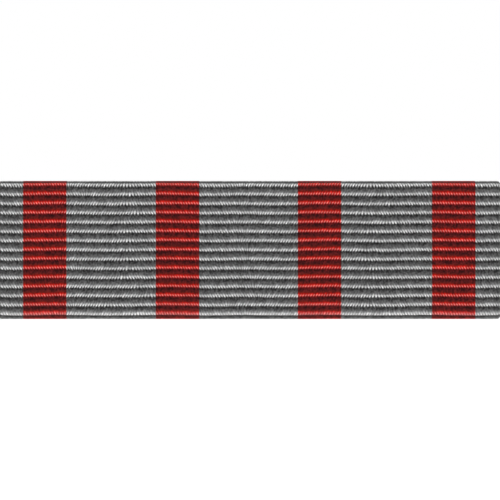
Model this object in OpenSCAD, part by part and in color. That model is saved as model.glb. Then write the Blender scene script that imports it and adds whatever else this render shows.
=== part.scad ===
// Service ribbon bar: a striped ribbon wrapped on a brass slide, which runs on a
// mount rail that two stepped posts and two butterfly clutches hold to cloth.
// X runs along the bar and Z points up as worn. The ribbon faces -Y.
// The back of the rail, which lies on the cloth, is at Y = 0.

/* [Ribbon] */
// Width of the ribbon from selvedge to selvedge
ribbon_w = 34.925; // [31:0.005:40]
// Height of the finished ribbon bar
bar_h = 9.525; // [9.2:0.005:12]
// Thickness of the ribbon under its ribs
ribbon_t = 0.24; // [0.18:0.01:0.32]
// Height of the ribs on the ribbon
rib_h = 0.16; // [0.08:0.01:0.22]
// Distance from one rib to the next
rib_pitch = 0.638; // [0.5:0.002:0.8]
// Height of the middle rib above the centre line
rib_rise = 0.025; // [0:0.005:0.2]
// Width of each red stripe
red_w = 3; // [2.2:0.01:3.4]
// Width of the grey stripe in the middle
centre_w = 6.85; // [5:0.01:7.5]
// Width of the grey stripe between two red stripes
between_w = 6.26; // [5:0.01:6.6]
// Length of ribbon turned in behind each lip
tuck_w = 1; // [0.7:0.05:1.1]

/* [Ribbon slide] */
// Sheet thickness of the slide
slide_t = 0.35; // [0.3:0.01:0.45]
// Outer bend radius of the slide's folded edges
slide_bend = 0.25; // [0.1:0.01:0.4]
// Length of each lip, folded behind the rail
lip_w = 1.5; // [1.3:0.05:1.7]
// How far the slide stays short of each selvedge
slide_inset = 0.2; // [0.1:0.05:0.6]
// Thickness of the adhesive film under the ribbon
film_t = 0.06; // [0.04:0.01:0.1]

/* [Mount rail] */
// Sheet thickness of the rail
rail_t = 0.5; // [0.4:0.05:0.6]
// Inner bend radius of the rail
rail_bend = 0.1; // [0.05:0.01:0.2]
// How far the rail stays short of each end of the slide
rail_inset = 0.3; // [0.1:0.05:1]
// Running gap between the rail and the slide
run_gap = 0.1; // [0.06:0.01:0.15]
// Gap between the rail's web and the turned-in ribbon
web_gap = 0.3; // [0.2:0.05:0.4]
// Gap between the cloth and the ribbon on the lips
cloth_clear = 0.15; // [0.1:0.05:0.3]

/* [Posts] */
// Distance between the two posts
post_gap = 20; // [14:0.5:21]
// Length of each post behind the rail
post_len = 8; // [7.2:0.1:9]
// Radius of the pointed part that the clutch grips
spike_r = 0.45; // [0.4:0.01:0.5]
// Radius of the shank that goes through the cloth
shank_r = 0.65; // [0.56:0.01:0.75]
// Radius of the neck in the rail
neck_r = 0.9; // [0.8:0.01:1]
// Radius of the head in front of the rail's web
head_r = 1.15; // [1.05:0.01:1.3]
// Thickness of the head
head_t = 0.4; // [0.3:0.05:0.5]
// Length of the point
point_len = 1.2; // [0.8:0.1:1.5]

/* [Clutches] */
// Radius of the clutch
clutch_r = 4.45; // [4.3:0.01:4.6]
// Sheet thickness of the clutch
clutch_t = 0.3; // [0.26:0.01:0.32]
// Distance from the rail to the clutch, for the cloth
cloth_gap = 2.45; // [2.4:0.05:2.7]
// Height of the dome's roof over the cloth side
roof_h = 2.3; // [2.25:0.01:2.45]
// Radius of the dome
dome_r = 3.4; // [3.35:0.01:3.5]
// Height of the wings over the cloth side
wing_h = 5.6; // [5:0.1:6.2]
// Reach of each wing from the post's axis
wing_x = 3.4; // [3:0.1:3.9]
// Width of the wings
wing_w = 4.2; // [3.6:0.1:4.4]
// Height of the small teeth that bite the cloth
tooth_h = 0.3; // [0.2:0.02:0.34]
// Number of teeth
teeth = 6; // [3:1:8]

/* [Hidden] */

$fn = 64;

GREY = "#77777a";
RED = "#a8302c";
BRASS = "#c8a24c";
NICKEL = "#b4b7ba";
STEEL = "#9fa3a8";
FILM = "#e6dfc8";

LEFT = -1;
RIGHT = 1;

// Points on each rounded corner, and samples along each rib
arc_steps = 6;
fine_steps = 20;
rib_steps = 6;

// Depths in front of the cloth, from the back of the bar to its face
wrap_t = film_t + ribbon_t + rib_h;
lip_back = cloth_clear + wrap_t;
lip_front = lip_back + slide_t;
rail_back = lip_front + wrap_t + run_gap;
rail_front = rail_back + rail_t;
slide_inside = rail_front + run_gap;
slide_front = slide_inside + slide_t;

// Half heights, from the bar's edge inwards
slide_z = bar_h / 2 - wrap_t;
rail_z = slide_z - slide_t - run_gap;
lip_z = slide_z - lip_w;
web_z = lip_z - wrap_t - web_gap;

slide_l = ribbon_w - 2 * slide_inset;
rail_l = slide_l - 2 * rail_inset;

// Edges of the slide and of the rail
slide_inner_bend = 0.05;
rail_edge = 0.12;

// Sizes of the film
film_inset = 0.5;
film_l = slide_l - 2 * film_inset;
film_z = slide_z - slide_bend;

// Sizes of the post
press_gap = 0.01;
shank_clear = 0.2;
shank_end = cloth_gap - tooth_h - shank_clear;
blunt_r = 0.08;
groove_w = 0.5;
groove_d = 0.1;
groove_r = spike_r - groove_d;
groove_y = post_len - point_len - 2 * groove_w;

// Sizes of the clutch
pin_gap = 0.15;
pin_r = spike_r + pin_gap;
bite_gap = 0.04;
bite_r = spike_r + bite_gap;
rim_lip = 0.6;
flange_gap = 0.03;
flange_r = clutch_r - clutch_t - flange_gap;
shell_bend = 0.15;
dome_bend = 0.7;
tooth_r = 0.28;
tooth_tip_r = 0.05;
tooth_root = 0.05;
tooth_inset = 1.35;
tooth_ring = clutch_r - tooth_inset;

// The bar across the roof, on whose rounded edges the jaws rock
edge_r = clutch_t / 2;
bar_wall = 0.1;
rock_x = pin_r + bar_wall - edge_r;
rock_y = roof_h - edge_r;
roll_gap = 0.03;
neck_x = rock_x + edge_r + roll_gap + clutch_t / 2;
slot_room = 0.75;
slot_x = neck_x + slot_room;
slot_gap = 0.1;
slot_z = wing_w / 2 + slot_gap;
jaw_inset = 0.3;
jaw_z = slot_z - jaw_inset;

// The bent strip that makes the seat and the jaws
seat_room = 0.55;
seat_inset = 0.5;
seat_x = dome_r - clutch_t - seat_room;
seat_y = 1.5 * clutch_t;
seat_end_y = 2.9 * clutch_t;
jaw_room = 0.75;
jaw_end_x = seat_x - jaw_room;
jaw_end_y = 2.75 * clutch_t;
jaw_drop = 1.03;
jaw_y = roof_h - jaw_drop;
jaw_gap = 0.05;
jaw_x = spike_r + jaw_gap;
wing_lean = 0.75;
wing_bend_x = wing_x - wing_lean;
wing_rise = 1.6;
wing_bend_y = roof_h + wing_rise;
wing_corner = 0.9;
wing_root = 0.2;
wing_flare = 0.4;

// Geometry helpers

function unit(v) = v / norm(v);
function corner_turn(a, b) = acos(max(-1, min(1, a * b)));

// Points of one corner b between a and c, rounded to the radius b[2]
function corner(a, b, c, steps) =
  let(
    p = [b[0], b[1]],
    u = unit([a[0], a[1]] - p),
    v = unit([c[0], c[1]] - p),
    half = corner_turn(u, v) / 2,
    back = b[2] / tan(half),
    middle = p + unit(u + v) * b[2] / sin(half),
    from = p + u * back - middle,
    side = sign(u[0] * v[1] - u[1] * v[0]),
    sweep = side * (180 - 2 * half)
  )
  b[2] == 0 ? [p] :
  [
    for (i = [0 : steps])
    let(t = -sweep * i / steps)
    middle + [from[0] * cos(t) - from[1] * sin(t), from[0] * sin(t) + from[1] * cos(t)]
  ];

// A closed outline and an open path with rounded corners
function outline(c) =
  [
    for (i = [0 : len(c) - 1])
    each corner(c[(i + len(c) - 1) % len(c)], c[i], c[(i + 1) % len(c)], arc_steps)
  ];
function path(c, steps) =
  [
    [c[0][0], c[0][1]],
    for (i = [1 : len(c) - 2]) each corner(c[i - 1], c[i], c[i + 1], steps),
    [c[len(c) - 1][0], c[len(c) - 1][1]]
  ];

// Corners followed by their mirror image in the first axis
function mirrored(c) =
  concat(c, [for (i = [len(c) - 1 : -1 : 0]) [c[i][0], -c[i][1], c[i][2]]]);

// Direction at each point of a path, and the path moved to its right
function heading(p, i) =
  unit(p[min(i + 1, len(p) - 1)] - p[max(i - 1, 0)]);
function beside(p, d) =
  [for (i = [0 : len(p) - 1]) let(h = heading(p, i)) p[i] + d * [h[1], -h[0]]];
function backwards(p) = [for (i = [len(p) - 1 : -1 : 0]) p[i]];

// A strip of even thickness centred on a path
function strip(c, t) =
  let(p = path(c, fine_steps))
  concat(beside(p, t / 2), backwards(beside(p, -t / 2)));

// Length of a path up to each of its points
function lengths(p, i = 1, sums = [0]) =
  i == len(p) ? sums :
  lengths(p, i + 1, concat(sums, [sums[i - 1] + norm(p[i] - p[i - 1])]));

// Place and direction at a length s along a path
function at_length(p, sums, s) =
  let(
    i = max([for (j = [0 : len(p) - 2]) if (sums[j] <= s) j]),
    step = sums[i + 1] - sums[i],
    t = step == 0 ? 0 : (s - sums[i]) / step
  )
  [p[i] + t * (p[i + 1] - p[i]), unit((1 - t) * heading(p, i) + t * heading(p, i + 1))];

// Pushes an outline drawn in Y and Z along X, about the middle
module along_x(l) {
  rotate([90, 0, 90])
    linear_extrude(l, center = true)
      children();
}

// Turns a profile of radius and height about the Y axis
module about_y() {
  rotate([-90, 0, 0])
    rotate_extrude()
      children();
}

// Ribbon: one woven piece, from one tuck over the face to the other

// Corners of the wrap at a distance off the slide
function wrap_corners(off) = mirrored([
  [-lip_front - off, lip_z + tuck_w, 0],
  [-lip_front - off, lip_z - off, slide_t / 2 + off - 0.001],
  [-lip_back + off, lip_z - off, slide_t / 2 + off - 0.001],
  [-lip_back + off, slide_z + off, slide_bend + off],
  [-slide_front - off, slide_z + off, slide_bend + off]
]);

// The ribs keep their pitch at half their height, also round the folds
lay_t = ribbon_t + rib_h / 2;
wrap_path = path(wrap_corners(film_t + lay_t), fine_steps);
wrap_sums = lengths(wrap_path);
wrap_l = wrap_sums[len(wrap_sums) - 1];
first_rib = (wrap_l / 2 - rib_rise) % rib_pitch;

function rib_at(s) = ribbon_t + rib_h * abs(cos(180 * (s - first_rib) / rib_pitch));

wrap_steps = concat(
  [0],
  [for (s = [first_rib % (rib_pitch / rib_steps) + 0.001 : rib_pitch / rib_steps : wrap_l - 0.02]) s],
  [wrap_l - 0.0001]
);

ribbon_face = [
  for (s = wrap_steps)
  let(at = at_length(wrap_path, wrap_sums, s))
  at[0] + (rib_at(s) - lay_t) * [at[1][1], -at[1][0]]
];
ribbon_outline = concat(ribbon_face, backwards(path(wrap_corners(film_t), arc_steps)));

// Stripe edges, out from the middle on either side
red_in = centre_w / 2;
red_out = red_in + red_w;
edge_in = red_out + between_w;
edge_out = edge_in + red_w;
selvedge = ribbon_w / 2;

module stripe(from, to) {
  translate([(from + to) / 2, 0, 0])
    along_x(to - from)
      polygon(ribbon_outline);
}

module ribbon() {
  color(GREY) {
    stripe(-red_in, red_in);
    stripe(red_out, edge_in);
    stripe(-edge_in, -red_out);
    stripe(edge_out, selvedge);
    stripe(-selvedge, -edge_out);
  }
  color(RED) {
    stripe(red_in, red_out);
    stripe(-red_out, -red_in);
    stripe(edge_in, edge_out);
    stripe(-edge_out, -edge_in);
  }
}

// Adhesive film: bonds the ribbon to the face of the slide

module adhesive_film() {
  color(FILM)
    translate([-film_l / 2, -slide_front - film_t, -film_z])
      cube([film_l, film_t, 2 * film_z]);
}

// Ribbon slide: folded brass channel that the ribbon is wrapped on

slide_outline = outline(concat(
  mirrored([
    [-lip_back, lip_z, slide_t / 2 - 0.01],
    [-lip_back, slide_z, slide_bend],
    [-slide_front, slide_z, slide_bend]
  ]),
  backwards(mirrored([
    [-lip_front, lip_z, slide_t / 2 - 0.01],
    [-lip_front, slide_z - slide_t, slide_inner_bend],
    [-slide_inside, slide_z - slide_t, slide_inner_bend]
  ]))
));

module ribbon_slide() {
  color(BRASS)
    along_x(slide_l)
      polygon(slide_outline);
}

// Mount rail: hat section whose two flanges carry the slide

rail_outline = outline(mirrored([
  [0, web_z, rail_bend + rail_t],
  [-rail_back, web_z, rail_bend],
  [-rail_back, rail_z, rail_edge],
  [-rail_front, rail_z, rail_edge],
  [-rail_front, web_z - rail_t, rail_bend + rail_t],
  [-rail_t, web_z - rail_t, rail_bend]
]));

module at_post(side) {
  translate([side * post_gap / 2, 0, 0])
    children();
}

module neck_hole() {
  rotate([90, 0, 0])
    cylinder(r = neck_r + press_gap, h = 3 * rail_t, center = true);
}

module mount_rail() {
  color(NICKEL)
    difference() {
      along_x(rail_l)
        polygon(rail_outline);
      at_post(LEFT) neck_hole();
      at_post(RIGHT) neck_hole();
    }
}

// Posts: stepped pins pressed through the rail's web from the front

post_profile = [
  [0, -rail_t - head_t],
  [head_r, -rail_t - head_t],
  [head_r, -rail_t],
  [neck_r, -rail_t],
  [neck_r, 0],
  [shank_r, 0],
  [shank_r, shank_end],
  [spike_r, shank_end],
  [spike_r, groove_y],
  [groove_r, groove_y],
  [groove_r, groove_y + groove_w],
  [spike_r, groove_y + groove_w],
  [spike_r, post_len - point_len],
  [blunt_r, post_len],
  [0, post_len]
];

module post() {
  color(STEEL)
    about_y()
      polygon(post_profile);
}

module left_post() {
  at_post(LEFT) post();
}

module right_post() {
  at_post(RIGHT) post();
}

// Clutches: each is drawn on its post's axis with the cloth side at Y = 0

module at_clutch(side) {
  translate([side * post_gap / 2, cloth_gap, 0])
    children();
}

// Clutch base: dish with teeth on the cloth side and a rim curled over the cap

base_profile = outline([
  [pin_r, 0, 0],
  [clutch_r, 0, 2 * shell_bend],
  [clutch_r, 3 * clutch_t, shell_bend],
  [clutch_r - rim_lip, 3 * clutch_t, shell_bend],
  [clutch_r - rim_lip, 2 * clutch_t, 0],
  [clutch_r - clutch_t, 2 * clutch_t, 0],
  [clutch_r - clutch_t, clutch_t, 0],
  [pin_r, clutch_t, 0]
]);

module tooth(turn) {
  rotate([0, turn, 0])
    translate([tooth_ring, tooth_root, 0])
      rotate([90, 0, 0])
        cylinder(r1 = tooth_r, r2 = tooth_tip_r, h = tooth_h + tooth_root);
}

module clutch_base() {
  color(BRASS)
    union() {
      about_y()
        polygon(base_profile);
      for (i = [0 : teeth - 1])
        tooth((i + 0.5) * 360 / teeth);
    }
}

module left_clutch_base() {
  at_clutch(LEFT) clutch_base();
}

module right_clutch_base() {
  at_clutch(RIGHT) clutch_base();
}

// Clutch cap: dome held under the rim, with a slot on each side of a bar

cap_profile = outline([
  [0, roof_h, 0],
  [0, roof_h - clutch_t, 0],
  [dome_r - clutch_t, roof_h - clutch_t, dome_bend - clutch_t],
  [dome_r - clutch_t, clutch_t, 0],
  [flange_r, clutch_t, 0],
  [flange_r, 2 * clutch_t, 0],
  [dome_r, 2 * clutch_t, shell_bend],
  [dome_r, roof_h, dome_bend]
]);

module roof_edge(side) {
  translate([side * rock_x, rock_y, 0])
    cylinder(r = edge_r, h = 2 * slot_z, center = true);
}

module clutch_cap() {
  color(BRASS)
    difference() {
      union() {
        difference() {
          about_y()
            polygon(cap_profile);
          translate([-slot_x, roof_h - 2 * clutch_t, -slot_z])
            cube([2 * slot_x, 3 * clutch_t, 2 * slot_z]);
        }
        translate([-rock_x, roof_h - clutch_t, -slot_z])
          cube([2 * rock_x, clutch_t, 2 * slot_z]);
        roof_edge(LEFT);
        roof_edge(RIGHT);
      }
      rotate([90, 0, 0])
        cylinder(r = pin_r, h = 4 * roof_h, center = true);
    }
}

module left_clutch_cap() {
  at_clutch(LEFT) clutch_cap();
}

module right_clutch_cap() {
  at_clutch(RIGHT) clutch_cap();
}

// Spring seat: middle of the bent strip, clamped on the floor of the base

seat_outline = strip([
  [-seat_x, seat_end_y, 0],
  [-seat_x, seat_y, 0.7 * clutch_t],
  [seat_x, seat_y, 0.7 * clutch_t],
  [seat_x, seat_end_y, 0]
], clutch_t);

module spring_seat() {
  color(BRASS)
    difference() {
      linear_extrude(2 * (jaw_z - seat_inset), center = true)
        polygon(seat_outline);
      rotate([90, 0, 0])
        cylinder(r = pin_r, h = 4 * roof_h, center = true);
    }
}

module left_spring_seat() {
  at_clutch(LEFT) spring_seat();
}

module right_spring_seat() {
  at_clutch(RIGHT) spring_seat();
}

// Jaws: ends of the bent strip, from the jaw at the post up to the wing

jaw_outline = strip([
  [jaw_end_x, jaw_end_y, 0],
  [jaw_x, jaw_y, clutch_t],
  [neck_x, rock_y, clutch_t],
  [wing_bend_x, wing_bend_y, 2.5 * clutch_t],
  [wing_x, wing_h, 0]
], clutch_t);

jaw_front = outline(mirrored([
  [0, jaw_z, 0],
  [roof_h + wing_root, jaw_z, 0],
  [roof_h + wing_root + wing_flare, wing_w / 2, 0],
  [wing_h + clutch_t, wing_w / 2, wing_corner]
]));

module jaw(side) {
  color(BRASS)
    mirror([side == LEFT ? 1 : 0, 0, 0])
      difference() {
        intersection() {
          linear_extrude(2 * wing_w, center = true)
            polygon(jaw_outline);
          along_x(4 * wing_x)
            polygon(jaw_front);
        }
        rotate([90, 0, 0])
          cylinder(r = bite_r, h = 4 * roof_h, center = true);
      }
}

module left_outer_jaw() {
  at_clutch(LEFT) jaw(LEFT);
}

module left_inner_jaw() {
  at_clutch(LEFT) jaw(RIGHT);
}

module right_inner_jaw() {
  at_clutch(RIGHT) jaw(LEFT);
}

module right_outer_jaw() {
  at_clutch(RIGHT) jaw(RIGHT);
}

ribbon();
adhesive_film();
ribbon_slide();
mount_rail();
left_post();
right_post();
left_clutch_base();
left_clutch_cap();
left_spring_seat();
left_outer_jaw();
left_inner_jaw();
right_clutch_base();
right_clutch_cap();
right_spring_seat();
right_inner_jaw();
right_outer_jaw();
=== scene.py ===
import math

import bmesh
import bpy
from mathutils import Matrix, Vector, noise


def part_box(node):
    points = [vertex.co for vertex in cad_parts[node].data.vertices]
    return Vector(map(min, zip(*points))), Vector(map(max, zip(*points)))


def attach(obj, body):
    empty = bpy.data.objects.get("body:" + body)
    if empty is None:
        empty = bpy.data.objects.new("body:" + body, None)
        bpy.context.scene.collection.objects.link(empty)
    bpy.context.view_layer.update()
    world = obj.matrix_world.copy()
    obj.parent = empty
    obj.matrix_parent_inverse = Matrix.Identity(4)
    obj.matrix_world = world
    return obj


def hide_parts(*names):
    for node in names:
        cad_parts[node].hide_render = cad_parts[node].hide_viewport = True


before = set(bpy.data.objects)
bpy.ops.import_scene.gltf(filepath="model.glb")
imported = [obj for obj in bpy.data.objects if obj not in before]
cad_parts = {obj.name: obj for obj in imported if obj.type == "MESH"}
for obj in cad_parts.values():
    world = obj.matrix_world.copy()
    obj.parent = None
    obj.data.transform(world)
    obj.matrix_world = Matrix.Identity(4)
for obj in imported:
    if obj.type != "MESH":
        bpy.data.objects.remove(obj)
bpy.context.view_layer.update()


# Ribbon slide. A channel of thin rolled brass that the ribbon is wrapped on, folded so that two
# lips run behind the mount rail. Its grain runs along the bar, and it has dulled in its corners.
MM = 0.001
slide_sheet = 0.35 * MM
slide_bend = 0.25 * MM
slide_lip = 1.5 * MM
slide_low, slide_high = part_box("ribbon_slide")


def feed(owner, socket, value):
    """Sets a socket of a material's or world's node to a value, or links another node's output to it."""
    if isinstance(value, bpy.types.NodeSocket):
        owner.node_tree.links.new(value, socket)
    elif value is not None:
        socket.default_value = value


def add_node(owner, kind, *inputs, **settings):
    """Adds a node, feeds its inputs in their order, and returns its first output."""
    made = owner.node_tree.nodes.new(kind)
    for name, value in settings.items():
        setattr(made, name, value)
    for socket, value in zip(made.inputs, inputs):
        feed(owner, socket, value)
    return made.outputs[0]


def calc(owner, operation, *inputs):
    """Adds a Math node."""
    return add_node(owner, "ShaderNodeMath", *inputs, operation=operation)


def add_noise(material, place, scale, detail, roughness):
    """Adds solid noise."""
    return add_node(material, "ShaderNodeTexNoise", place, None, scale, detail, roughness)


def stretched(material, place, scale, turn=None):
    """Turns and scales a place, so that a pattern on it runs in lines."""
    return add_node(material, "ShaderNodeMapping", place, None, turn, scale)


def dye(red, green, blue):
    """A colour given from 0 to 255, made linear."""
    def linear(c):
        c /= 255
        return c / 12.92 if c <= 0.04045 else ((c + 0.055) / 1.055) ** 2.4
    return (linear(red), linear(green), linear(blue), 1)


def ramp(material, factor, stops):
    """Adds a colour ramp with (position, colour) stops. A plain number stands for that grey."""
    out = add_node(material, "ShaderNodeValToRGB", factor)
    elements = out.node.color_ramp.elements
    while len(elements) < len(stops):
        elements.new(1)
    for element, (position, colour) in zip(elements, stops):
        element.position = position
        element.color = colour if isinstance(colour, tuple) else (colour, colour, colour, 1)
    return out


def mix_colour(material, factor, a, b, blend="MIX"):
    """Adds a colour mix node."""
    made = add_node(material, "ShaderNodeMix", data_type="RGBA", blend_type=blend).node
    for socket, value in zip((made.inputs[0], made.inputs[6], made.inputs[7]), (factor, a, b)):
        feed(material, socket, value)
    return made.outputs[2]


def shaded(material, colour, light):
    """Multiplies a colour by a light level."""
    level = add_node(material, "ShaderNodeCombineColor", light, light, light)
    return mix_colour(material, 1.0, colour, level, "MULTIPLY")


def add_bump(material, height, strength, depth, normal=None):
    """Adds a bump of a depth in metres, on the surface's own normal or another one."""
    made = add_node(material, "ShaderNodeBump").node
    for name, value in (("Height", height), ("Strength", strength), ("Distance", depth), ("Normal", normal)):
        feed(material, made.inputs[name], value)
    return made.outputs[0]


def new_material(name):
    """A node material, its shader, and the place of a point on the piece."""
    material = bpy.data.materials.new(name)
    material.use_nodes = True
    place = material.node_tree.nodes.new("ShaderNodeTexCoord").outputs["Object"]
    return material, material.node_tree.nodes["Principled BSDF"], place


def set_shader(material, shader, **values):
    """Feeds the shader's inputs, which are named with underscores for spaces."""
    for name, value in values.items():
        feed(material, shader.inputs[name.replace("_", " ")], value)


def metal(name, body, edge, tarnish, roughness, grain, dulled=0.5):
    """Sheet or bar metal: grain from rolling or turning, stray scratches, patches dulled by handling,
    bright edges and dark corners."""
    patch_scale = 520.0
    scratch_scale = (260, 15000, 15000)
    scratch_turns = (0.3, 0.2, 0.5), (1.1, 0.9, -0.7)
    scratch_depth = 0.8
    edge_ease = 0.07 * MM
    edge_wear = 0.7
    corner_reach = 0.6 * MM
    corner_dirt = 0.8
    grain_contrast = 0.3
    relief, relief_strength = 0.004 * MM, 0.3
    dull_roughness, scratch_roughness, grain_roughness = 0.22, 0.15, 0.14

    made, shader, place = new_material(name)
    grain_lines = add_noise(made, stretched(made, place, grain), 1.0, 3.0, 0.6)
    patches = add_noise(made, place, patch_scale, 5.0, 0.62)
    scratches = 0.0
    for turn in scratch_turns:
        lines = add_noise(made, stretched(made, place, scratch_scale, turn), 1.0, 1.0, 0.5)
        scratches = calc(made, "MAXIMUM", scratches, ramp(made, lines, [(0.66, 0.0), (0.72, 1.0)]))

    # Edges show where the eased normal leaves the true one, and corners where little light gets in
    eased = add_node(made, "ShaderNodeBevel", edge_ease, samples=6)
    true_normal = made.node_tree.nodes.new("ShaderNodeNewGeometry").outputs["Normal"]
    facing = add_node(made, "ShaderNodeVectorMath", eased, true_normal, operation="DOT_PRODUCT")
    worn = ramp(made, facing.node.outputs["Value"], [(0.86, 1.0), (0.995, 0.0)])
    open_light = add_node(made, "ShaderNodeAmbientOcclusion", None, corner_reach, samples=8, only_local=True)
    corner_dull = ramp(made, open_light.node.outputs["AO"], [(0.35, 1.0), (0.9, 0.0)])
    patch_dull = ramp(made, patches, [(0.42, 0.0), (0.7, dulled)])
    dull = calc(made, "MINIMUM", calc(made, "MULTIPLY_ADD", corner_dull, corner_dirt, patch_dull), 1.0)

    grain_light = calc(made, "MULTIPLY_ADD", grain_lines, grain_contrast, 1 - grain_contrast / 2)
    coloured = shaded(made, mix_colour(made, dull, body, tarnish), grain_light)
    coloured = mix_colour(made, calc(made, "MULTIPLY", worn, edge_wear), coloured, edge)
    rough = calc(made, "MULTIPLY_ADD", dull, dull_roughness, roughness)
    rough = calc(made, "MULTIPLY_ADD", scratches, scratch_roughness, rough)
    rough = calc(made, "MULTIPLY_ADD", grain_lines, grain_roughness, rough)
    height = calc(made, "MULTIPLY_ADD", scratches, -scratch_depth, grain_lines)
    set_shader(made, shader, Base_Color=coloured, Metallic=1.0, Roughness=rough,
               Normal=add_bump(made, height, relief_strength, relief, eased))
    return made


def finish_node(node, material):
    """Gives a CAD node its finish."""
    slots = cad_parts[node].data.materials
    slots.clear()
    slots.append(material)


rolled_brass = metal("rolled_brass", body=dye(214, 178, 104), edge=dye(240, 214, 150),
                     tarnish=dye(120, 88, 46), roughness=0.24, grain=(500, 14000, 14000))
finish_node("ribbon_slide", rolled_brass)


# Adhesive film. A thin coat of clear, slightly yellow glue between the slide's face and the
# ribbon, laid on with a roller, so it has small bubbles and an uneven gloss.
film_low, film_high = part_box("adhesive_film")
film_depth = film_high.y - film_low.y
flow_scale = 900.0
bubble_scale = 3500.0
bubble_height, bubble_strength = 0.01 * MM, 0.4
least_rough, rough_varies = 0.1, 0.4
glue, glue_shader, glue_place = new_material("dried_glue")
glue_flow = add_noise(glue, glue_place, flow_scale, 4.0, 0.6)
glue_bubbles = add_node(glue, "ShaderNodeTexVoronoi", glue_place, None, bubble_scale)
bubble_rims = ramp(glue, glue_bubbles, [(0.1, 1.0), (0.22, 0.0)])
glue_tint = ramp(glue, glue_flow, [(0.3, dye(236, 226, 196)), (0.7, dye(206, 186, 138))])
set_shader(glue, glue_shader, Base_Color=mix_colour(glue, bubble_rims, glue_tint, dye(244, 240, 226)),
           Roughness=calc(glue, "MULTIPLY_ADD", glue_flow, rough_varies, least_rough),
           Normal=add_bump(glue, bubble_rims, bubble_strength, bubble_height))
finish_node("adhesive_film", glue)


# Ribbon. One length of corded ribbon, grey with four red stripes, stretched over the slide's face, taken
# round both folded edges and turned in behind the lips. Fine warp yarns lean over thick weft cords, so
# each cord shows as a row of small strokes. Sizes here are in millimetres.
ribbon_low, ribbon_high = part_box("ribbon")
ribbon_width = (ribbon_high.x - ribbon_low.x) / MM
ribbon_ground = 0.24
cord_height = 0.16
cord_pitch = 0.638
cord_rise = 0.025
yarns = 188
bead_height = 0.024
yarn_reach = 0.34
selvedge_round = 0.3
selvedge_drop = 0.16
face_y = (film_depth - slide_low.y) / MM
edge_radius = (slide_bend + film_depth) / MM
edge_z = (slide_high.z - slide_bend) / MM
lip_y = (-slide_high.y - film_depth) / MM
turn_radius = (slide_sheet / 2 + film_depth) / MM
turn_z = (slide_high.z - slide_lip + slide_sheet / 2) / MM
tuck_length = 0.825
fold_slack = 0.044
# The share of a cord's pitch that its steep lower side takes
steep_share = 0.33
# The cords keep their pitch at half their height, also round the folds
lay = ribbon_ground + cord_height / 2

# The stretches of one half of the wrap, from the middle of the face to the tucked end
face_run = edge_z
corner_run = (edge_radius + lay) * math.pi / 2
top_start = face_run + corner_run
back_start = top_start + face_y - lip_y - 2 * edge_radius
lip_start = back_start + corner_run
turn_start = lip_start + edge_z - turn_z
tuck_start = turn_start + (turn_radius + lay) * math.pi
half_run = tuck_start + tuck_length


def wrap_point(s):
    """Place (y, z) of the glued side at the length s above the middle of the face, and the way out (y, z)."""
    side = 1 if s >= 0 else -1
    q = abs(s)
    if q < face_run:
        place, out = (-face_y, q), (-1, 0)
    elif q < top_start:
        turn = (q - face_run) / (edge_radius + lay)
        out = (-math.cos(turn), math.sin(turn))
        place = (-face_y + edge_radius + edge_radius * out[0], edge_z + edge_radius * out[1])
    elif q < back_start:
        place, out = (-face_y + edge_radius + q - top_start, edge_z + edge_radius), (0, 1)
    elif q < lip_start:
        turn = (q - back_start) / (edge_radius + lay)
        out = (math.sin(turn), math.cos(turn))
        place = (-lip_y - edge_radius + edge_radius * out[0], edge_z + edge_radius * out[1])
    elif q < turn_start:
        place, out = (-lip_y, edge_z - (q - lip_start)), (1, 0)
    elif q < tuck_start:
        turn = (q - turn_start) / (turn_radius + lay)
        out = (math.cos(turn), -math.sin(turn))
        place = (-lip_y - turn_radius + turn_radius * out[0], turn_z + turn_radius * out[1])
    else:
        place, out = (-lip_y - 2 * turn_radius, turn_z + q - tuck_start), (-1, 0)
    return (place[0], side * place[1]), (out[0], side * out[1])


def gone(value, start, length):
    """How far a value has gone along a stretch, from 0 to 1."""
    return max(0, min(1, (value - start) / length))


def cord_profile(f):
    """Height of a weft cord, from 0 to 1, where f runs down from one crest to the next: a steep lower
    side, then a slow rise."""
    rise_power = 0.85
    f = f % 1
    if f < steep_share:
        return 0.5 + 0.5 * math.cos(math.pi * f / steep_share)
    return math.sin(math.pi / 2 * (f - steep_share) / (1 - steep_share)) ** rise_power


def yarn_lean(across, cord):
    """Which way the warp yarns lean, from -1 to 1, at a distance from the left selvedge: it changes in
    ragged bands."""
    band_ends = (4.6, 8.9, 17.5, 26.2)
    raggedness = 2.6
    change_length = 0.35
    lean = 1.0
    for end in band_ends:
        ragged = raggedness * noise.noise((cord * 4.1, end, 3.0))
        lean *= -math.tanh((across - end - ragged) / change_length)
    return lean


def cord_bow(across, s, cord):
    """How far a cord lies above its even place: all sag together in slow waves, they part a little
    towards the edges, and each strays by itself."""
    wave_depth, wave_middle, wave_length = 0.017, 7.96, 6.154
    upper_parting, lower_parting, parted_at, most_parted, middle_sag = 0.02, 0.010, 3.2, 1.2, 0.014
    slow_stray, quick_stray = 0.02, 0.012
    waves = -wave_depth * math.cos(2 * math.pi * (across - wave_middle) / wave_length)
    parting = (upper_parting if s > 0 else lower_parting) * min(abs(s) / parted_at, most_parted) ** 2
    stray = slow_stray * noise.noise((across * 0.35, cord * 7.3, 2.0))
    stray += quick_stray * noise.noise((across * 1.7, cord * 3.1, 5.0))
    return waves + parting - middle_sag + stray


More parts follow.
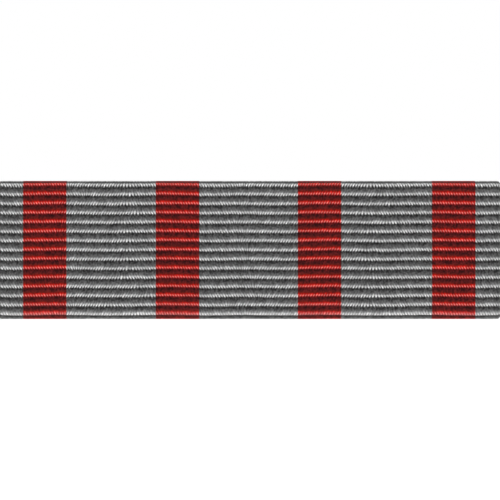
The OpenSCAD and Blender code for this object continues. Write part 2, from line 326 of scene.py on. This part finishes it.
rows_per_cord = 7
bead_in_groove = 0.35
bead_unevenness = 0.6
fold_draw, edge_draw = 0.6, 0.3
low_cord_start, low_cord_length, low_cord_spread = 3.9, 0.3, 0.35
ribbon_rows = round(2 * half_run / cord_pitch * rows_per_cord)
weave = bmesh.new()
weave.loops.layers.uv.new("weave")
weave.loops.layers.uv.new("OFBake")
bmesh.ops.create_grid(weave, x_segments=2 * yarns, y_segments=ribbon_rows, size=0.5)
weave_uv = weave.loops.layers.uv["weave"]
bake_uv = weave.loops.layers.uv["OFBake"]
on_cloth = {}
for v in weave.verts:
    on_cloth[v] = (v.co.x + 0.5, v.co.y + 0.5)
    across, s = on_cloth[v][0] * ribbon_width, v.co.y * 2 * half_run
    column = round(on_cloth[v][0] * 2 * yarns)
    f = (cord_rise - s) / cord_pitch
    cord = math.floor(f + 1 - steep_share)
    inside = f + 1 - steep_share - cord
    # The yarn leans along each cord and goes back in the groove
    lean = yarn_lean(across, cord) * yarn_reach * (inside - 0.5)
    crown = cord_profile(f)
    bead = (1 if column % 2 else -1) * bead_height * (bead_in_groove + (1 - bead_in_groove) * crown)
    bead *= 1 + bead_unevenness * noise.noise((across * 9.0, cord * 5.7, 9.0))
    # Round the folds the yarns are drawn flatter, and the ribbon stands off a little
    folded = gone(abs(s), face_run, corner_run)
    drawn = folded * (fold_draw + edge_draw * (1 - gone(abs(s), back_start, corner_run)))
    lift = ribbon_ground + cord_height * crown + bead * (1 - drawn) + fold_slack * folded
    # The selvedges are rounded off, and the yarns don't lean out of them
    from_selvedge = min(across, ribbon_width - across)
    if from_selvedge < selvedge_round:
        lift -= selvedge_drop * (1 - math.sqrt(1 - (1 - from_selvedge / selvedge_round) ** 2))
        lean *= from_selvedge / selvedge_round
    # The lowest cord on the face spreads as it goes over the fold
    spread = low_cord_spread * gone(-s, low_cord_start, low_cord_length)
    bowed = s + cord_bow(across, s, cord) - spread * cord_pitch * math.sin(2 * math.pi * f) / (2 * math.pi)
    place, out = wrap_point(max(-half_run, min(half_run, bowed)))
    v.co = Vector((across - ribbon_width / 2 + lean, place[0] + lift * out[0], place[1] + lift * out[1])) * MM
outer_points = set(weave.verts)

# Both selvedges are drawn in to the glued side, which is then drawn from the left one to the right
glued_inset = 0.02
glued_reach = ribbon_width / 2 - glued_inset
same_point = 0.0005 * MM
selvedge_near = 0.0001


def drawn_on(edges):
    """Extrudes edges of the cloth in place, and returns the new edges and points, which keep their place
    on the cloth."""
    made = bmesh.ops.extrude_edge_only(weave, edges=edges)["geom"]
    points = [g for g in made if isinstance(g, bmesh.types.BMVert)]
    for point in points:
        joined = [v for e in point.link_edges for v in e.verts if v in on_cloth]
        on_cloth[point] = on_cloth[next(v for v in joined if (v.co - point.co).length == 0)]
    new_edges = [g for g in made if isinstance(g, bmesh.types.BMEdge) and all(v in points for v in g.verts)]
    return new_edges, points


glued_rims = {}
for sign, selvedge in ((-1, 0), (1, 1)):
    rim = [e for e in weave.edges
           if e.is_boundary and all(abs(on_cloth[v][0] - selvedge) < selvedge_near for v in e.verts)]
    glued_rims[sign], rim_points = drawn_on(rim)
    for v in rim_points:
        place, out = wrap_point((on_cloth[v][1] - 0.5) * 2 * half_run)
        v.co = Vector((sign * glued_reach, place[0], place[1])) * MM
across_points = drawn_on(glued_rims[-1])[1]
bmesh.ops.translate(weave, verts=across_points, vec=(2 * glued_reach * MM, 0, 0))
for v in across_points:
    on_cloth[v] = (1.0, on_cloth[v][1])
right_points = list({v for e in glued_rims[1] for v in e.verts})
bmesh.ops.remove_doubles(weave, verts=across_points + right_points, dist=same_point)
bmesh.ops.holes_fill(weave, edges=[e for e in weave.edges if e.is_boundary], sides=0)
bmesh.ops.recalc_face_normals(weave, faces=weave.faces)

# The weave is drawn on a map of the cloth. On a second map, for baking, nothing overlaps: the outer side
# fills the middle, the rims and ends lie in the margin round it, and the glued side in a strip below.
rim_margin = 0.03
strip_top, end_low = 0.03, 0.05
outer_low, outer_high = 0.08, 0.96
for face in weave.faces:
    face.smooth = True
    glued = not any(v in outer_points for v in face.verts)
    for loop in face.loops:
        cloth_u, cloth_v = on_cloth[loop.vert]
        loop[weave_uv].uv = (cloth_u, cloth_v)
        if glued:
            bake_place = (cloth_u, strip_top * cloth_v)
        elif loop.vert in outer_points:
            bake_place = (rim_margin + (1 - 2 * rim_margin) * cloth_u,
                          outer_low + (outer_high - outer_low) * cloth_v)
        else:
            bake_place = (cloth_u, end_low + (1 - end_low) * cloth_v)
        loop[bake_uv].uv = bake_place


def new_piece(name, form, material):
    """Makes a piece of a finished form and its material."""
    mesh = bpy.data.meshes.new(name)
    form.to_mesh(mesh)
    form.free()
    mesh.materials.append(material)
    piece = bpy.data.objects.new(name, mesh)
    bpy.context.collection.objects.link(piece)
    return piece


corded, corded_shader, ribbon_place = new_material("corded_ribbon")
place_xyz = add_node(corded, "ShaderNodeSeparateXYZ", ribbon_place).node.outputs
weave_map = add_node(corded, "ShaderNodeUVMap", uv_map="weave")
weave_xy = add_node(corded, "ShaderNodeSeparateXYZ", weave_map).node.outputs
yarn_phase = calc(corded, "MULTIPLY", weave_xy[0], yarns)
yarn_number = calc(corded, "FLOOR", yarn_phase)
along = calc(corded, "MULTIPLY_ADD", weave_xy[1], -2 * half_run / cord_pitch,
             (half_run + cord_rise) / cord_pitch)
cord_phase = calc(corded, "FRACT", along)
cord_number = calc(corded, "FLOOR", calc(corded, "ADD", along, 1 - steep_share))

# Four red stripes, by the place of their middles and their half width
stripe_middles = (-14.165, -4.958, 4.9, 14.215)
stripe_half = 1.504
stripe_x = calc(corded, "MULTIPLY", place_xyz[0], 1 / MM)
red_stripe = 0.0
for middle in stripe_middles:
    red_stripe = calc(corded, "MAXIMUM", red_stripe, calc(corded, "COMPARE", stripe_x, middle, stripe_half))


def wave(phase, shift):
    """A cosine with one crest in each unit of a phase, shifted by a share of it."""
    return calc(corded, "COSINE", calc(corded, "MULTIPLY_ADD", phase, 2 * math.pi, shift * 2 * math.pi))


def crests(waves, power):
    """A wave from 0 to 1, with its crests made narrower by a power above 1, or broader by one below."""
    return calc(corded, "POWER", calc(corded, "MULTIPLY_ADD", waves, 0.5, 0.5), power)


def less_on_red(value, share):
    """Takes a share of a value away on the red stripes."""
    return calc(corded, "MULTIPLY", value, calc(corded, "MULTIPLY_ADD", red_stripe, -share, 1.0))


# Each yarn and cord makes one cell of the weave, and each cell differs a little
yarn_cell = add_node(corded, "ShaderNodeCombineXYZ", yarn_number, cord_number, 0.0)
cell_noise = add_node(corded, "ShaderNodeTexWhiteNoise", yarn_cell, noise_dimensions="2D")
fibre_map = stretched(corded, ribbon_place, (9.0 / MM, 3.0 / MM, 6.6 / MM))
fibre_noise = add_noise(corded, fibre_map, 1.0, 2.0, 0.6)

# Beads show where a yarn crosses a crest. Each hangs a little into the groove and climbs unevenly above
# the crest. The cord along the upper fold is drawn tight, so its beads hardly show.
hang_least, hang_varies, hang_less_on_red = 0.045, 0.06, 0.35
climb_bead, climb_varies, climb_middle = 0.03, 0.07, -0.04
tightness = 0.8
bead_mean = 1.27
bead_wave = wave(yarn_phase, 0.5)
bead_round = calc(corded, "MULTIPLY_ADD", crests(bead_wave, 0.5), 2.0, -bead_mean)
fold_cord = -round((top_start - cord_rise) / cord_pitch)
on_fold = calc(corded, "COMPARE", cord_number, fold_cord, 0.5)
slack_yarn = calc(corded, "MULTIPLY_ADD", on_fold, -tightness, 1.0)
hang_reach = less_on_red(calc(corded, "MULTIPLY_ADD", cell_noise, hang_varies, hang_least), hang_less_on_red)
hang_reach = calc(corded, "MULTIPLY", hang_reach, slack_yarn)
below_crest = ramp(corded, cord_phase, [(0.0, 1.0), (0.32, 1.0), (0.42, 0.0), (0.90, 0.0), (1.0, 1.0)])
hang = calc(corded, "MULTIPLY", calc(corded, "MULTIPLY", bead_round, below_crest), hang_reach)
above_crest = ramp(corded, cord_phase, [(0.0, 0.0), (0.6, 0.0), (0.7, 1.0), (0.88, 1.0), (0.98, 0.0)])
climb = calc(corded, "MULTIPLY_ADD", cell_noise, climb_varies, climb_middle)
climb = calc(corded, "MULTIPLY_ADD", bead_wave, climb_bead, climb)
# The painted crest highlight and groove shade are shifted here, bead by bead
hung_phase = calc(corded, "MULTIPLY_ADD", climb, above_crest, calc(corded, "SUBTRACT", along, hang))
hung_phase = calc(corded, "FRACT", hung_phase)


def grey(level):
    """A neutral colour, given from 0 to 255."""
    return dye(level, level, level)


# Painted light: grey and red each run from a painted highlight on the crest down into painted shade in the
# groove, and slowly back up
grey_thread_painted_shade = ramp(corded, hung_phase, [
    (0.0, grey(190)),
    (0.055, grey(174)),
    (0.17, grey(64)),
    (0.28, grey(52)),
    (0.40, grey(65)),
    (0.56, grey(84)),
    (0.71, grey(94)),
    (0.81, grey(116)),
    (0.92, grey(172)),
    (1.0, grey(190)),
])
red_thread_painted_shade = ramp(corded, hung_phase, [
    (0.0, dye(188, 34, 28)),
    (0.04, dye(154, 18, 17)),
    (0.12, dye(86, 7, 8)),
    (0.26, dye(68, 15, 16)),
    (0.48, dye(84, 22, 22)),
    (0.64, dye(102, 22, 12)),
    (0.73, dye(140, 12, 4)),
    (0.83, dye(190, 25, 14)),
    (0.91, dye(203, 46, 38)),
    (1.0, dye(188, 34, 28)),
])
# The stripe colours carry the painted crest highlight and groove shade
striped_with_painted_light = mix_colour(corded, red_stripe, grey_thread_painted_shade, red_thread_painted_shade)

# Painted highlight: the red beads are mixed towards pink on top, and a painted sheen whitens the crests a
# little towards the lower edge
pink_highlight_share = 0.62
sheen_start, sheen_end = -3.1 * MM, -4.5 * MM
slow_sheen, edge_sheen, sheen_less_on_red = 0.06, 0.16, 0.75
crest_near = crests(wave(cord_phase, 0.05), 2.0)
pink_bead_highlight = calc(corded, "MAXIMUM", bead_wave, 0.0)
pink_bead_highlight = calc(corded, "MULTIPLY", pink_bead_highlight, calc(corded, "POWER", crest_near, 5.0))
pink_bead_highlight = calc(corded, "MULTIPLY", calc(corded, "MULTIPLY", pink_bead_highlight, red_stripe), pink_highlight_share)
striped_with_painted_light = mix_colour(corded, pink_bead_highlight, striped_with_painted_light, dye(212, 162, 156))
low_edge = add_node(corded, "ShaderNodeMapRange", place_xyz[2], sheen_start, sheen_end, 0.0, 1.0)
low_painted_sheen = calc(corded, "MULTIPLY", low_edge, slow_sheen)
low_painted_sheen = calc(corded, "MULTIPLY_ADD", calc(corded, "POWER", low_edge, 6.0), edge_sheen, low_painted_sheen)
low_painted_sheen = less_on_red(low_painted_sheen, sheen_less_on_red)
striped_with_painted_light = mix_colour(corded, calc(corded, "MULTIPLY", crest_near, low_painted_sheen), striped_with_painted_light, (1, 1, 1, 1))

# A painted highlight makes a yarn brightest where it turns under, just below the crest, and the red ones less
# so, with painted shade between the yarns. Fibres show most in the groove.
turn_highlight, bead_highlight, highlight_less_on_red = 0.46, 0.12, 0.65
cell_contrast = 0.18
fibre_contrast, fibre_more_on_red, fibre_darkest = 6.2, 0.3, 0.35
fibre_relief, fibre_relief_strength = 0.02 * MM, 0.25
thread_rough, thread_rough_varies = 0.65, 0.2
turn_near = crests(wave(cord_phase, -0.07), 4.0)
painted_bead_strength = calc(corded, "MULTIPLY_ADD", turn_near, turn_highlight, bead_highlight)
painted_bead_strength = calc(corded, "MULTIPLY", less_on_red(painted_bead_strength, highlight_less_on_red), slack_yarn)
bead_painted_light = calc(corded, "MULTIPLY_ADD", bead_wave, painted_bead_strength, 1.0)
cell_light = calc(corded, "MULTIPLY_ADD", cell_noise, cell_contrast, 1 - cell_contrast / 2)
fibre_show = ramp(corded, cord_phase, [
    (0.0, 0.25), (0.1, 0.4), (0.27, 1.0), (0.4, 0.75), (0.55, 0.55), (0.68, 0.4), (0.85, 0.3), (1.0, 0.25),
])
fibre_strength = calc(corded, "MULTIPLY_ADD", red_stripe, fibre_more_on_red, fibre_contrast)
fibre_strength = calc(corded, "MULTIPLY", fibre_show, fibre_strength)
fibre_light = calc(corded, "MULTIPLY_ADD", calc(corded, "SUBTRACT", fibre_noise, 0.5), fibre_strength, 1.0)
fibre_light = calc(corded, "MAXIMUM", fibre_light, fibre_darkest)
thread_tone_and_painted_light = calc(corded, "MULTIPLY", calc(corded, "MULTIPLY", bead_painted_light, cell_light), fibre_light)
set_shader(corded, corded_shader, Base_Color=shaded(corded, striped_with_painted_light, thread_tone_and_painted_light),
           Roughness=calc(corded, "MULTIPLY_ADD", fibre_noise, thread_rough_varies, thread_rough),
           Specular_IOR_Level=0.1, Sheen_Weight=0.04, Sheen_Roughness=0.5,
           Normal=add_bump(corded, fibre_noise, fibre_relief_strength, fibre_relief))

ribbon = new_piece("woven_ribbon", weave, corded)
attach(ribbon, "ribbon_unit")
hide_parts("ribbon")


# Mount rail. A hat section of nickel-plated sheet, cut from a rolled strip. Its two flanges run
# in the slide's channel, its web lies on the cloth, and the plating is thin along its edges.
nickel = metal("nickel_plate", body=dye(166, 168, 169), edge=dye(204, 202, 194), tarnish=dye(108, 106, 101),
               roughness=0.27, grain=(420, 12000, 12000))
finish_node("mount_rail", nickel)


# Posts. Two pins turned from steel bar and pressed through the rail's web from the front, with a
# head, a shank for the cloth, and a thinner pointed end with a groove that the clutch grips.
steel = metal("turned_steel", body=dye(176, 179, 182), edge=dye(222, 224, 226), tarnish=dye(104, 102, 100),
              roughness=0.18, grain=(600, 16000, 600), dulled=0.4)
post_gap = 20 * MM
post_steps = 64
head_radius, collar_radius, shank_radius = 1.15, 0.9, 0.65
pin_radius, groove_radius, point_radius = 0.45, 0.35, 0.08
head_start, head_end, shank_start, shank_end = -0.9, -0.5, 0.0, 1.95
groove_start, groove_end, taper_start, post_tip = 5.8, 6.3, 6.8, 8.0
# Corners of half the outline in millimetres: radius, place along the post, and length of the easing
post_outline = [
    (0.0, head_start, 0.0), (head_radius, head_start, 0.12), (head_radius, head_end, 0.05),
    (collar_radius, head_end, 0.0), (collar_radius, shank_start, 0.03), (shank_radius, shank_start, 0.0),
    (shank_radius, shank_end, 0.07), (pin_radius, shank_end, 0.05), (pin_radius, groove_start, 0.04),
    (groove_radius, groove_start, 0.03), (groove_radius, groove_end, 0.03), (pin_radius, groove_end, 0.04),
    (pin_radius, taper_start, 0.1), (point_radius, post_tip, 0.05), (0.0, post_tip, 0.0),
]


def eased_line(corners, unit, z, segments, closed=False):
    """Draws a line through (x, y, ease) corners, given in a unit, at a height z. Each corner is rounded
    by its ease."""
    form = bmesh.new()
    chain = [form.verts.new((x * unit, y * unit, z)) for x, y, ease in corners]
    for start, end in zip(chain, chain[1:] + chain[:1] if closed else chain[1:]):
        form.edges.new((start, end))
    for corner, (x, y, ease) in zip(chain, corners):
        if ease:
            bmesh.ops.bevel(form, geom=[corner], offset=ease * unit, offset_type="OFFSET", affect="VERTICES",
                            segments=segments, profile=0.5, material=-1)
    return form


def spun(outline, centre, steps, closed):
    """Turns an outline of (radius, y, ease) in millimetres about the Y axis through a centre."""
    form = eased_line(outline, unit=MM, z=0, segments=5, closed=closed)
    bmesh.ops.spin(form, geom=form.verts[:] + form.edges[:], cent=(0, 0, 0), axis=(0, 1, 0),
                   angle=2 * math.pi, steps=steps, use_merge=True)
    bmesh.ops.remove_doubles(form, verts=form.verts, dist=same_point)
    bmesh.ops.translate(form, verts=form.verts, vec=centre)
    bmesh.ops.recalc_face_normals(form, faces=form.faces)
    return form


def smoothed(form, sharpest=32):
    """Shades a form smooth but for its sharp edges."""
    for face in form.faces:
        face.smooth = True
    for e in form.edges:
        if len(e.link_faces) == 2 and e.calc_face_angle() > math.radians(sharpest):
            e.smooth = False
    return form


sides = {"left": -1, "right": 1}
for side, sign in sides.items():
    post_form = spun(post_outline, (sign * post_gap / 2, 0, 0), post_steps, closed=False)
    post = new_piece(side + "_turned_post", smoothed(post_form), steel)
    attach(post, "mount")
    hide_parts(side + "_post")


# Clutch bases. Round dishes stamped from brass sheet, each with a hole for the post, six small
# teeth raised on the cloth side, and a rim that is curled over the cap to hold it.
stamped_brass = metal("stamped_brass", body=dye(222, 188, 112), edge=dye(246, 222, 160),
                      tarnish=dye(132, 98, 52), roughness=0.2, grain=(2600, 2600, 2600))
clutch_y = 2.45
clutch_sheet = 0.3
clutch_steps = 96
hole_radius = 0.6
dish_radius = 4.45
rim_height = 0.9
curl_radius = 3.85
dish_inside = dish_radius - clutch_sheet
curl_inside = rim_height - clutch_sheet
base_outline = [
    (hole_radius, 0.0, 0.06), (dish_radius, 0.0, 0.28), (dish_radius, rim_height, 0.16),
    (curl_radius, rim_height, 0.14), (curl_radius, curl_inside, 0.0), (dish_inside, curl_inside, 0.0),
    (dish_inside, clutch_sheet, 0.0), (hole_radius, clutch_sheet, 0.06),
]
tooth_count = 6
tooth_ring = 3.1
tooth_radius = 0.28
tooth_tip = 0.05
tooth_height = 0.3
tooth_root = 0.05
tooth_ease = 0.03
to_cloth = Vector((0, 0, 1)).rotation_difference(Vector((0, -1, 0))).to_matrix()
for side, sign in sides.items():
    base = spun(base_outline, (0, 0, 0), clutch_steps, closed=True)
    for i in range(tooth_count):
        cone = bmesh.ops.create_cone(base, cap_ends=True, segments=20, radius1=tooth_radius * MM,
                                     radius2=tooth_tip * MM, depth=(tooth_height + tooth_root) * MM)["verts"]
        tip = [e for e in {e for v in cone for e in v.link_edges} if all(v.co.z > 0 for v in e.verts)]
        bmesh.ops.bevel(base, geom=tip, offset=tooth_ease * MM, affect="EDGES", segments=2, profile=0.5,
                        material=-1)
        angle = (i + 0.5) * 2 * math.pi / tooth_count
        cone = [v for v in base.verts if v.co.length < tooth_height * MM]
        bmesh.ops.rotate(base, verts=cone, cent=(0, 0, 0), matrix=to_cloth)
        foot = (tooth_ring * math.cos(angle), (tooth_root - tooth_height) / 2, tooth_ring * math.sin(angle))
        bmesh.ops.translate(base, verts=cone, vec=[c * MM for c in foot])
    bmesh.ops.recalc_face_normals(base, faces=base.faces)
    bmesh.ops.translate(base, verts=base.verts, vec=(sign * post_gap / 2, clutch_y * MM, 0))
    dish = new_piece(side + "_toothed_dish", smoothed(base), stamped_brass)
    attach(dish, side + "_clutch")
    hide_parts(side + "_clutch_base")


# Clutch springs. One strip of springy brass in each clutch, bent into a flat seat on the dish's
# floor and two arms. Each arm has a half-round jaw that grips the post, and ends in a wing to pinch.
spring_brass = metal("spring_brass", body=dye(216, 178, 98), edge=dye(244, 216, 150),
                     tarnish=dye(122, 90, 46), roughness=0.22, grain=(9000, 700, 9000))
# Corners of an arm's middle line from the jaw's end to the wing's tip, with the length that each bend takes
arm_line = [(1.8, 0.825, 0.0), (0.5, 1.27, 0.32), (0.88, 2.15, 0.08), (2.65, 3.9, 0.7), (3.4, 5.6, 0.0)]
arm_half_width = 1.9
wing_half_width = 2.1
wing_foot, wing_flare = 2.5, 0.4
wing_corner = 0.9
wing_tip = arm_line[-1][1]
wing_dish, wing_dish_length = 0.16, 2.0
jaw_bore = 0.49
jaw_round = jaw_bore + clutch_sheet / 2
jaw_top = 2.0
arm_rim = 0.06
arm_steps = 42
longest_edge = 0.3
arm_same_point = 0.0001
bend_sharpest = 60


def arm_half(y):
    """Half the width of the strip at a height: it widens over the roof, and the wing's corners are round."""
    half = arm_half_width + (wing_half_width - arm_half_width) * gone(y, wing_foot, wing_flare)
    into_corner = max(0, min(wing_corner, y - (wing_tip - wing_corner)))
    return half - wing_corner + math.sqrt(wing_corner ** 2 - into_corner ** 2)


def spring_arm(direction):
    """One arm of the strip, on its post's axis, to the left or the right of it. It is drawn in millimetres
    and then scaled."""
    form = eased_line(arm_line, unit=1, z=-1, segments=8)
    bmesh.ops.subdivide_edges(form, edges=[e for e in form.edges if e.calc_length() > longest_edge], cuts=9)
    bmesh.ops.spin(form, geom=form.verts[:] + form.edges[:], cent=(0, 0, 0), axis=(0, 0, 1),
                   dvec=(0, 0, 2 / arm_steps), angle=0, steps=arm_steps)
    bmesh.ops.remove_doubles(form, verts=form.verts, dist=arm_same_point)
    for v in form.verts:
        v.co.z *= arm_half(v.co.y)
        # The wing is dished a little for the finger, and the jaw is formed round the post
        v.co.x += wing_dish * (v.co.z / wing_half_width) ** 2 * gone(v.co.y, wing_foot, wing_dish_length)
        if v.co.y < jaw_top and math.hypot(v.co.x, v.co.z) < jaw_round:
            v.co.x = math.sqrt(jaw_round ** 2 - v.co.z ** 2)
    bmesh.ops.scale(form, verts=form.verts, vec=(direction * MM, MM, MM))
    bmesh.ops.recalc_face_normals(form, faces=form.faces)
    return form


def thicken(piece, sheet, offset, rim):
    """Gives a bent sheet its thickness and eased rims."""
    shell = piece.modifiers.new("sheet", "SOLIDIFY")
    shell.thickness = sheet * MM
    shell.offset = offset
    shell.use_even_offset = True
    ease = piece.modifiers.new("eased_rims", "BEVEL")
    ease.width = rim * MM
    ease.segments = 3
    ease.limit_method = "ANGLE"
    ease.angle_limit = math.radians(50)
    piece.modifiers.new("even_shading", "WEIGHTED_NORMAL").keep_sharp = True


for side, sign in sides.items():
    finish_node(side + "_spring_seat", spring_brass)
    for reach, direction in (("outer", sign), ("inner", -sign)):
        arm_form = spring_arm(direction)
        bmesh.ops.translate(arm_form, verts=arm_form.verts, vec=(sign * post_gap / 2, clutch_y * MM, 0))
        arm = new_piece(side + "_" + reach + "_spring_arm", smoothed(arm_form, bend_sharpest), spring_brass)
        thicken(arm, clutch_sheet, offset=0, rim=arm_rim)
        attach(arm, side + "_" + reach + "_jaw")
        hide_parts(side + "_" + reach + "_jaw")


# Clutch caps. Domes drawn from the same sheet, each with a flange under the dish's rim, a hole
# for the post, and a slot on each side of a narrow bar that the spring's arms rock on.
dome_height = 2.3
dome_radius = 3.4
flange_radius = 4.12
flange_y = curl_inside
cap_line = [(hole_radius, dome_height, 0.0), (dome_radius, dome_height, 0.7), (dome_radius, flange_y, 0.16),
            (flange_radius, flange_y, 0.0)]
cap_rim = 0.08
bar_half = 0.7
slot_reach = 1.63
slot_half = 2.2
slot_cuts = ((1, 0, 0), (-slot_reach, -bar_half, bar_half, slot_reach)), ((0, 0, 1), (-slot_half, slot_half))
roof_y = 1.7
cut_near = 0.0001 * MM
sliver = 0.02 * MM


def in_slot(face):
    """Whether a face of the dome lies in one of its two slots."""
    x, y, z = face.calc_center_median() / MM
    return bar_half < abs(x) < slot_reach and abs(z) < slot_half and y > roof_y


for side, sign in sides.items():
    dome = spun(cap_line, (0, 0, 0), clutch_steps, closed=False)
    for axis, places in slot_cuts:
        for at in places:
            bmesh.ops.bisect_plane(dome, geom=dome.verts[:] + dome.edges[:] + dome.faces[:], dist=cut_near,
                                   plane_co=[at * MM * c for c in axis], plane_no=axis)
    bmesh.ops.dissolve_degenerate(dome, edges=dome.edges, dist=sliver)
    bmesh.ops.delete(dome, geom=[f for f in dome.faces if in_slot(f)], context="FACES")
    bmesh.ops.recalc_face_normals(dome, faces=dome.faces)
    top = max(dome.faces, key=lambda f: f.calc_center_median().y)
    if top.normal.y < 0:
        bmesh.ops.reverse_faces(dome, faces=dome.faces)
    bmesh.ops.translate(dome, verts=dome.verts, vec=(sign * post_gap / 2, clutch_y * MM, 0))
    cap = new_piece(side + "_slotted_dome", smoothed(dome, bend_sharpest), stamped_brass)
    thicken(cap, clutch_sheet, offset=-1, rim=cap_rim)
    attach(cap, side + "_clutch")
    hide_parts(side + "_clutch_cap")


# Floor, light and camera. A pale floor lies well below the bar, the light is soft and comes
# mostly from the front, and the camera looks straight at the ribbon, as a scanner does.
floor_z = -0.024
floor_reach = 2.0
shadow_reach, white_from = 0.05, 0.16
white_lift = 0.55
soft_light = 0.55


def seen_directly(owner):
    """1 where a camera, mirror or glass ray looks at it, and 0 where light only comes from it."""
    rays = owner.node_tree.nodes.new("ShaderNodeLightPath").outputs
    seen = calc(owner, "MAXIMUM", rays["Is Camera Ray"], rays["Is Glossy Ray"])
    return calc(owner, "MAXIMUM", seen, rays["Is Transmission Ray"])


pale, pale_shader, floor_place = new_material("pale_floor")
from_bar = add_node(pale, "ShaderNodeVectorMath", floor_place, operation="LENGTH").node.outputs["Value"]
lift_white = add_node(pale, "ShaderNodeMapRange", from_bar, shadow_reach, white_from, 0.0, white_lift)
set_shader(pale, pale_shader, Base_Color=(0.9, 0.9, 0.9, 1), Roughness=0.9, Specular_IOR_Level=0.0,
           Emission_Color=(1, 1, 1, 1),
           Emission_Strength=calc(pale, "MULTIPLY", seen_directly(pale), lift_white))
floor_form = bmesh.new()
bmesh.ops.create_grid(floor_form, x_segments=2, y_segments=2, size=floor_reach)
bmesh.ops.translate(floor_form, verts=floor_form.verts, vec=(0, 0, floor_z))
floor = new_piece("pale_floor", floor_form, pale)

world = bpy.data.worlds.new("studio")
bpy.context.scene.world = world
world.use_nodes = True
world.node_tree.nodes.clear()
white = add_node(world, "ShaderNodeBackground", (1, 1, 1, 1), 1.0)
soft = add_node(world, "ShaderNodeBackground", (1, 1, 1, 1), soft_light)
shown = add_node(world, "ShaderNodeMixShader", seen_directly(world), soft, white)
feed(world, world.node_tree.nodes.new("ShaderNodeOutputWorld").inputs["Surface"], shown)


def softbox(name, place, size, power):
    """A square lamp that faces the middle of the bar."""
    lamp = bpy.data.lights.new(name, "AREA")
    lamp.size = size
    lamp.energy = power
    holder = bpy.data.objects.new(name, lamp)
    holder.location = place
    holder.rotation_euler = (-Vector(place)).to_track_quat("-Z", "Y").to_euler()
    bpy.context.collection.objects.link(holder)


softbox("front_softbox", place=(-0.12, -0.34, 0.10), size=0.22, power=0.61)
softbox("back_softbox", place=(0.16, 0.32, 0.18), size=0.22, power=0.8)
softbox("top_softbox", place=(0.0, -0.03, 0.42), size=0.14, power=0.32)

view_width = 34.687 * MM
view_middle = 0.0763 * MM
lens, sensor = 400.0, 36.0
crest_y = (-face_y - ribbon_ground - cord_height) * MM
camera_data = bpy.data.cameras.new("front_view")
camera_data.lens = lens
camera_data.sensor_width = sensor
camera_data.clip_start = 1 * MM
camera = bpy.data.objects.new("front_view", camera_data)
camera.location = (view_middle, crest_y - view_width * lens / sensor, 0)
camera.rotation_euler = (math.pi / 2, 0, 0)
bpy.context.collection.objects.link(camera)
bpy.context.scene.camera = camera
bpy.context.scene.view_settings.view_transform = "Standard"
